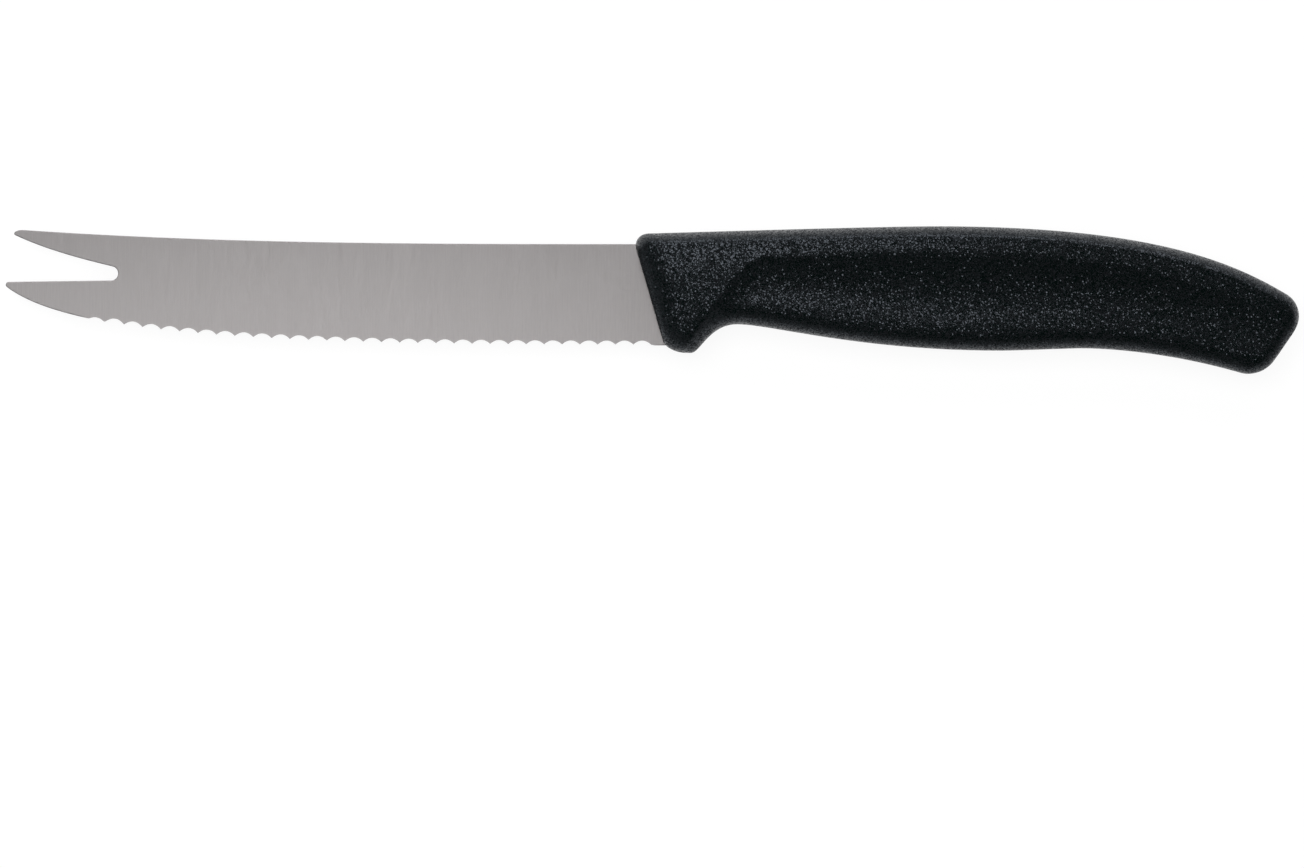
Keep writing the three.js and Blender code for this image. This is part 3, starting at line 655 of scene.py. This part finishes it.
guard_drop = BLADE_HEIGHT + GUARD_COVER
top_front = np.array([front_face(FRONT_RISE), FRONT_RISE])
crest = np.array([CREST_AT, CREST_RISE])
top_butt = np.array([butt_face(-BUTT_DROP), -BUTT_DROP])
guard_front = np.array([front_face(-guard_drop), -guard_drop])
guard = np.array([GUARD_AT, -guard_drop])
notch = np.array([NOTCH_AT, -NOTCH_DROP])
belly = np.array([BELLY_AT, -BELLY_DROP])
hollow_low = np.array([HOLLOW_AT, -HOLLOW_DROP])
butt_heel = np.array([butt_face(-HEEL_DROP), -HEEL_DROP])
top_line = np.vstack([
    sweep(top_front, FRONT_SLOPE, FRONT_PULL, crest, 0, CREST_PULLS[0]),
    sweep(crest, 0, CREST_PULLS[1], top_butt, -BUTT_TOP_ANGLE, BUTT_PULL),
])
bottom_line = np.vstack([
    guard_front,
    sweep(guard, 0, GUARD_PULL, notch, 0, NOTCH_PULLS[0]),
    sweep(notch, 0, NOTCH_PULLS[1], belly, 0, BELLY_PULLS[0]),
    sweep(belly, 0, BELLY_PULLS[1], hollow_low, 0, HOLLOW_PULLS[0]),
    sweep(hollow_low, 0, HOLLOW_PULLS[1], butt_heel, -HEEL_ANGLE, HEEL_PULL),
])
print("handle outline", len(top_line), "and", len(bottom_line), "points")

# %% [markdown]
# ## The handle's sections
#
# Sections stand across the handle on lines that lean with the front face, stand upright along the grip and
# lean back with the butt. Each runs round a domed top, down a flat rail, over a crease into the finger scoop
# and round a full underside. The guard's flanks taper below the rail, and the scoop dies out where the handle
# thins towards the butt. Quarter ellipses take the sections in at both ends, so the corners are round.
# Sculpting could give such forms too, but formulas keep both sides alike and the crease clean.

# %% Section lines
FRONT_ROUNDS = {"top": (2.8, 2.8), "guard": (3.4, 2.2), "flank": (5.5, 3.2)}  # depth and reach
BUTT_ROUNDS = {"top": (4.7, 4.8), "heel": (3.4, 3.6), "flank": (2.6, 2.4)}
UPRIGHT_SHARE = 0.6  # of the handle behind the notch, before the sections lean with the butt

front_rounded = max(depth for depth, _ in FRONT_ROUNDS.values()) / np.cos(np.radians(FRONT_LEAN))
butt_rounded = max(depth for depth, _ in BUTT_ROUNDS.values()) / np.cos(np.radians(BUTT_LEAN))
upright_from = front_rounded + NOTCH_AT
upright_to = upright_from + UPRIGHT_SHARE * (last_station - upright_from)


def smoothstep(value, low, high):
    """An even passage from 0 to 1 between two values: 3s^2 - 2s^3 of the share s."""
    s = np.clip((value - low) / (high - low), 0, 1)
    return s * s * (3 - 2 * s)


def lean(station):
    """Slant of a section's line: the front's, fading out to upright, and less the butt's, fading in."""
    front = FRONT_LEAN * (1 - smoothstep(station, front_rounded, upright_from))
    return np.radians(front - BUTT_LEAN * smoothstep(station, upright_to, last_station - butt_rounded))


def crossing(line, station):
    """Where each section's line meets an outline: between the last point before it and the first past it."""
    past = line[:, 0] + np.tan(lean(station))[:, None] * (line[:, 1] - middle) - station[:, None]
    after = np.maximum(1, np.argmax(past > 0, axis=1))
    after = np.where((past > 0).any(axis=1), after, len(line) - 1)
    row = np.arange(len(station))
    before_gap = past[row, after - 1]
    return blend(line[after - 1], line[after], before_gap / (before_gap - past[row, after]))


def taken(depth_and_reach, from_end):
    """What a rounded corner takes off at a distance from the end face: a quarter of an ellipse."""
    depth, reach = depth_and_reach
    left = np.maximum(0, 1 - from_end / depth)
    return reach * (1 - np.sqrt(1 - left**2))


print("sections upright from", round(upright_from, 1), "to", round(upright_to, 1), "mm")

# %% Stations, and the frame of each section
FRONT_STATIONS = 24
NOTCH_STATIONS = 90
GRIP_STATIONS = 150
BUTT_STATIONS = 36
HANDLE_THICKNESS = 13
BUTT_THICKNESS = 8
BUTT_TAPER_LENGTH = 62

quarter = 1 - np.cos(np.linspace(0, np.pi / 2, FRONT_STATIONS, endpoint=False))
butt_quarter = 1 - np.cos(np.linspace(np.pi / 2, 0, BUTT_STATIONS + 1))
gripped_to = last_station - butt_rounded
station = np.concatenate([
    front_rounded * quarter,
    np.linspace(front_rounded, upright_from, NOTCH_STATIONS, endpoint=False),
    np.linspace(upright_from, gripped_to, GRIP_STATIONS, endpoint=False),
    last_station - butt_rounded * butt_quarter,
])
from_front = station * np.cos(np.radians(FRONT_LEAN))
from_butt = (last_station - station) * np.cos(np.radians(BUTT_LEAN))
roof = crossing(top_line, station)
ground = crossing(bottom_line, station)
down = (ground - roof) / np.linalg.norm(ground - roof, axis=1)[:, None]
roof_taken = taken(FRONT_ROUNDS["top"], from_front) + taken(BUTT_ROUNDS["top"], from_butt)
ground_taken = taken(FRONT_ROUNDS["guard"], from_front) + taken(BUTT_ROUNDS["heel"], from_butt)
roof = roof + roof_taken[:, None] * down
ground = ground - ground_taken[:, None] * down
height = np.linalg.norm(ground - roof, axis=1)
thinning = np.maximum(0, 1 - (last_station - station) / BUTT_TAPER_LENGTH) ** 2
half = (HANDLE_THICKNESS + thinning * (BUTT_THICKNESS - HANDLE_THICKNESS)) / 2
half = half - taken(FRONT_ROUNDS["flank"], from_front) - taken(BUTT_ROUNDS["flank"], from_butt)
print(len(station), "sections, from", round(height.min(), 2), "to", round(height.max(), 2), "mm high")

# %% Levels of a section
TOP_ROUND = 2.2
TOP_SQUARENESS = 2  # an ellipse, where more is nearer to a square corner
RAIL_HEIGHT = 4.7  # top of the handle to the crease over the scoop
UNDERSIDE_ROUND = 5
UNDERSIDE_SQUARENESS = 3
MOST_ROUNDED = 0.8  # share of a low section that rail and underside may take
TOP_ROWS = 14
RAIL_ROWS = 10
SCOOP_ROWS = 48
SCOOP_CROWDING = 1.4  # rows are closer together at the crease
UNDERSIDE_ROWS = 24

fit = np.minimum(1, MOST_ROUNDED * height / (RAIL_HEIGHT + UNDERSIDE_ROUND))[:, None]
rail = RAIL_HEIGHT * fit
underside = height[:, None] - UNDERSIDE_ROUND * fit
top_turn = np.linspace(0, np.pi / 2, TOP_ROWS + 1)
under_turn = np.linspace(0, np.pi / 2, UNDERSIDE_ROWS + 1)
rail_steps = np.linspace(0, 1, RAIL_ROWS, endpoint=False)[1:]
scoop_steps = np.linspace(0, 1, SCOOP_ROWS, endpoint=False) ** SCOOP_CROWDING
below = np.hstack([
    TOP_ROUND * fit * (1 - np.cos(top_turn)),
    TOP_ROUND * fit + (rail - TOP_ROUND * fit) * rail_steps,
    rail + (underside - rail) * scoop_steps,
    underside + (height[:, None] - underside) * np.sin(under_turn),
])
top_width = (1 - np.cos(top_turn) ** TOP_SQUARENESS) ** (1 / TOP_SQUARENESS)
flat_width = np.ones(len(rail_steps) + len(scoop_steps))
under_width = (1 - np.sin(under_turn) ** UNDERSIDE_SQUARENESS) ** (1 / UNDERSIDE_SQUARENESS)
width = np.concatenate([top_width, flat_width, under_width])
print("handle side", below.shape)

# %% Scoop and skin
SCOOP_STEEPNESS = 18.5  # of its wall under the crease
SCOOP_AT = 12.4  # its front end, at half the blade's height
SCOOP_LEAN = 34.8  # of that end, top back
SCOOP_RAMP = 4.2  # from that end to full depth
SCOOP_CORNER = 0.8  # roundness of the crease's turn from the rail down to the guard
CREASE_SOFTNESS = 0.07  # roundness of the crease itself
GUARD_TAPER = 5.5  # of the guard's flank, below the rail
GUARD_SOFTNESS = 3  # over which that taper sets in


def into_scoop(under_rail, behind_front):
    """Distance into the scoop, 0 at its crease and 1 at full depth: the smaller of two distances.

    Where they differ by less than the corner's roundness, a quarter of the square of what is missing, over
    the roundness, comes off. At the crease, a parabola of the same kind passes from 0 to the distance.
    """
    near = np.maximum(0, SCOOP_CORNER - np.abs(under_rail - behind_front))
    inside = np.minimum(under_rail, behind_front) - near**2 / SCOOP_CORNER / 4
    soft = np.maximum(0, inside + CREASE_SOFTNESS) ** 2 / CREASE_SOFTNESS / 4
    return np.where(inside < CREASE_SOFTNESS, soft, np.minimum(1, inside))


at = roof[:, None, :] + below[..., None] * down[:, None, :]
under_rail = (below - rail) / (underside - rail)
behind_front = (at - [SCOOP_AT, middle]) @ heading(-SCOOP_LEAN) / SCOOP_RAMP
inside = into_scoop(under_rail, behind_front)
# The scoop is a parabola: half its length times its slope at the crease deep, and less towards the butt
scoop_depth = (1 - thinning**2)[:, None] * np.tan(np.radians(SCOOP_STEEPNESS)) * (underside - rail) / 2
scoop = scoop_depth * (1 - (1 - inside) ** 2)
under_guard = np.hypot(np.maximum(0, below - rail), GUARD_SOFTNESS) - GUARD_SOFTNESS
guard_taper = np.tan(np.radians(GUARD_TAPER)) * under_guard * (1 - inside)
face_side = np.dstack([at, (half[:, None] - scoop - guard_taper) * width]).transpose(1, 0, 2)
back_side = face_side[:, ::-1] * [1, 1, -1]
print("scoop", round(scoop.max(), 2), "mm deep")

# %% [markdown]
# ## Moulding the handle round the tang
#
# The skin is closed at both ends by flat caps, and then the blade is cut out of it. On the real knife the
# plastic flows round the tang and through its holes, so it touches the steel everywhere and needs no rivet.
# A boolean gives just that shape. It is applied, so that the handle's own mesh holds the pocket.

# %% Join the handle
CAP_COLUMNS = 12
HANDLE_CREASE = 35  # degrees, from which an edge of the mesh stays crisp


def cap(ring, across):
    """A flat end: the side's points with their z carried evenly from one flank to the other."""
    return np.stack([ring * [1, 1, share] for share in across], axis=1)


across = np.linspace(-1, 1, CAP_COLUMNS + 1)
caps = [cap(face_side[:, 0], across), cap(face_side[:, -1], across[::-1])]
moulded_handle = make_piece("moulded_handle", [face_side, back_side] + caps, origin)
pocket = moulded_handle.modifiers.new("tang_pocket", "BOOLEAN")
pocket.operation = "DIFFERENCE"
pocket.solver = "EXACT"
pocket.object = ground_blade
moulded = moulded_handle.evaluated_get(bpy.context.evaluated_depsgraph_get())
moulded_mesh = bpy.data.meshes.new_from_object(moulded)
moulded_handle.modifiers.clear()
moulded_handle.data = moulded_mesh
moulded_mesh.set_sharp_from_angle(angle=np.radians(HANDLE_CREASE))
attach(moulded_handle, "root")
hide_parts("handle")
print("handle", len(moulded_mesh.polygons), "faces")

# %% [markdown]
# ## The steel's finish
#
# The blade is satin ground: a belt has left short fine lines across it, with faint broader bands.
# The colour is also painted a little brighter towards the edge and darker towards the spine, as painted
# light. An image of scratches would blur from close by. Noise stretched along the grinding direction gives
# lines at their real width. It shifts the colour, the roughness and a slight bump.

# %% Satin steel
STEEL = (0.316, 0.302, 0.302)
LINE_STRETCH = (4500, 260, 500)  # noise cells per metre: 0.2 mm lines, about 4 mm long
BAND_STRETCH = (320, 14, 40)
LINE_DETAIL = 3  # finer layers of the noise
BAND_DETAIL = 1
LINE_DEPTH = 4e-6  # m
LINE_STRENGTH = 0.5
NOISE_SPAN = (0.3, 0.7)  # where most values of a noise lie
LINE_SHADES = (0.92, 1.08)  # the colour's share in the darkest and in the brightest lines
BAND_SHADES = (0.993, 1.007)
# Painted light: the colour is brighter at the blade's lowest point, by the edge, and darker at its highest
PAINTED_LIGHT_SHADES = (1.21, 0.85)  # at the lowest and at the highest point of the blade
SATIN_ROUGHNESS = (0.42, 0.5)

satin = bpy.data.materials.new("satin_steel")
satin.use_nodes = True
tree = satin.node_tree
shader = tree.nodes["Principled BSDF"]
place = add_node(tree, "ShaderNodeTexCoord").outputs["Object"]
line_place = add_node(tree, "ShaderNodeMapping", {"Vector": place, "Scale": LINE_STRETCH}).outputs[0]
line_noise = {"Vector": line_place, "Scale": 1, "Detail": LINE_DETAIL}
lines = add_node(tree, "ShaderNodeTexNoise", line_noise).outputs[0]
band_place = add_node(tree, "ShaderNodeMapping", {"Vector": place, "Scale": BAND_STRETCH}).outputs[0]
band_noise = {"Vector": band_place, "Scale": 1, "Detail": BAND_DETAIL}
bands = add_node(tree, "ShaderNodeTexNoise", band_noise).outputs[0]
rise = add_node(tree, "ShaderNodeSeparateXYZ", {0: place}).outputs["Y"]


def times(tree, a, b):
    """The product of two values."""
    return add_node(tree, "ShaderNodeMath", {0: a, 1: b}, operation="MULTIPLY").outputs[0]


line_shade = ranged(tree, lines, NOISE_SPAN, LINE_SHADES)
band_shade = ranged(tree, bands, NOISE_SPAN, BAND_SHADES)
# Painted light, brighter towards the edge and darker towards the spine, scales the grinding lines and bands
painted_light_shade = ranged(tree, rise, (blade_low[1], blade_high[1]), PAINTED_LIGHT_SHADES)
shade = times(tree, times(tree, line_shade, band_shade), painted_light_shade)
toned = add_node(tree, "ShaderNodeVectorMath", {"Vector": STEEL, "Scale": shade}, operation="SCALE")
grooves = {"Height": lines, "Strength": LINE_STRENGTH, "Distance": LINE_DEPTH}
line_bump = add_node(tree, "ShaderNodeBump", grooves)
tree.links.new(toned.outputs[0], shader.inputs["Base Color"])
tree.links.new(ranged(tree, lines, NOISE_SPAN, SATIN_ROUGHNESS), shader.inputs["Roughness"])
tree.links.new(line_bump.outputs[0], shader.inputs["Normal"])
shader.inputs["Metallic"].default_value = 1
ground_blade.data.materials.clear()
ground_blade.data.materials.append(satin)
print("steel", len(tree.nodes), "nodes")

# %% [markdown]
# ## The plastic's finish
#
# The mould's cavity was spark eroded, so the handle has an even, fine grain of matt pits and smooth crests,
# which scatters light into tiny specks. The plastic is black with a cool tint. Its colour is painted
# darker in the pits, as painted shade, and lighter on the crests, as painted light. A bump of noise would
# be simpler, but its slopes are too much alike. Here the grain is made of cells a fifth of a millimetre
# wide, each a facet with a lean of its own. The lean grows with the cube of a random value, so most facets
# lie nearly flat, and a few lean far enough to glint where the handle is dark.

# %% Grained plastic
PLASTIC = (0.0003, 0.0012, 0.0010)
GLANCE = (0.80, 0.87, 1.0)  # the tint of what it reflects
GRAIN = 5500  # facets per metre
NO_LEAN = (0.5, 0.5, 0.5)  # random colour of a facet that lies flat
GRAIN_TILT = 1.28  # of a facet, for the cube of how far its random colour is from that
CRESTS = (0.34, 0.58)  # random value up to which a facet is a pit, and from which it is a crest
# Painted shade in the pits and painted light on the crests: the colour's share in each
PIT_SHADE_CREST_LIGHT = (0.2, 1.8)  # share of the colour in the pits and on the crests
GRAIN_ROUGHNESS = (0.95, 0.2)  # in the pits and on the crests
PLASTIC_IOR = 1.5

grained = bpy.data.materials.new("grained_plastic")
grained.use_nodes = True
tree = grained.node_tree
shader = tree.nodes["Principled BSDF"]
place = add_node(tree, "ShaderNodeTexCoord").outputs["Object"]
grain = add_node(tree, "ShaderNodeTexVoronoi", {"Vector": place, "Scale": GRAIN}).outputs["Color"]
crest = add_node(tree, "ShaderNodeSeparateXYZ", {0: grain}).outputs["Z"]
facing = add_node(tree, "ShaderNodeNewGeometry").outputs["Normal"]
leaning = add_node(tree, "ShaderNodeVectorMath", {0: grain, 1: NO_LEAN}, operation="SUBTRACT").outputs[0]
squared = add_node(tree, "ShaderNodeVectorMath", {0: leaning, 1: leaning}, operation="DOT_PRODUCT")
tilt = times(tree, squared.outputs["Value"], GRAIN_TILT)
tilted = {0: leaning, 1: tilt, 2: facing}
facet = add_node(tree, "ShaderNodeVectorMath", tilted, operation="MULTIPLY_ADD").outputs[0]
facet = add_node(tree, "ShaderNodeVectorMath", {0: facet}, operation="NORMALIZE").outputs[0]
# Painted shade and painted light: the colour is darker in the pits and lighter on the crests
painted_grain_light = ranged(tree, crest, CRESTS, PIT_SHADE_CREST_LIGHT)
toned = add_node(tree, "ShaderNodeVectorMath", {"Vector": PLASTIC, "Scale": painted_grain_light}, operation="SCALE")
tree.links.new(toned.outputs[0], shader.inputs["Base Color"])
shader.inputs["Specular Tint"].default_value = (*GLANCE, 1)
shader.inputs["IOR"].default_value = PLASTIC_IOR
tree.links.new(ranged(tree, crest, CRESTS, GRAIN_ROUGHNESS), shader.inputs["Roughness"])
tree.links.new(facet, shader.inputs["Normal"])
moulded_handle.data.materials.clear()
moulded_handle.data.materials.append(grained)
print("plastic", len(tree.nodes), "nodes")

# %% [markdown]
# ## The end
#
# The finer surfaces stand where the imported nodes stood.

# %% Update the scene
bpy.context.view_layer.update()
